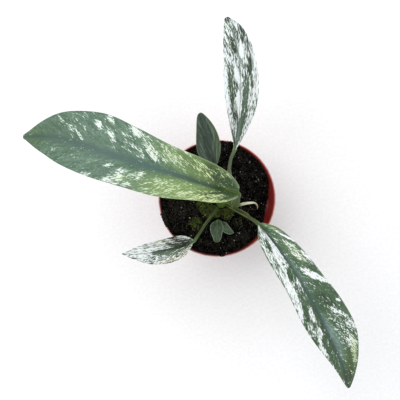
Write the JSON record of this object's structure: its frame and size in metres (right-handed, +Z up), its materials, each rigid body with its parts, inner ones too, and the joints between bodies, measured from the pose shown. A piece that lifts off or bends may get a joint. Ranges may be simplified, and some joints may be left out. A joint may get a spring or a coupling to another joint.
{
  "type": "potted pothos",
  "caption": "Young variegated lance-leaved pothos in a round tapered nursery pot filled with soil, its leaves arching out on sheathed stalks.",
  "frame": {"origin": "on the pot's axis, at the flat face of its underside that it stands on", "axes": "+Z up along the pot's axis; +Y towards the tip of the narrow upper leaf, along the plant's longest spread; the large leaf points to -X"},
  "size_m": [0.2535, 0.2858, 0.1894],
  "materials": {
    "pot_plastic": "satin",
    "soil": "matte",
    "stem": "satin",
    "leaf_green": "satin",
    "leaf_pale": "satin",
    "leaf_dark": "satin",
    "dry_sheath": "matte"
  },
  "bodies": {
    "root": {"pot": "pot_plastic", "soil": "soil", "stem": "stem", "leaf_large": "leaf_green", "leaf_upper": "leaf_pale", "leaf_lower_right": "leaf_green", "leaf_lower_left": "leaf_pale", "leaf_plain": "leaf_dark", "young_shoot": "leaf_dark", "dry_sheath": "dry_sheath"}
  },
  "joints": []
}
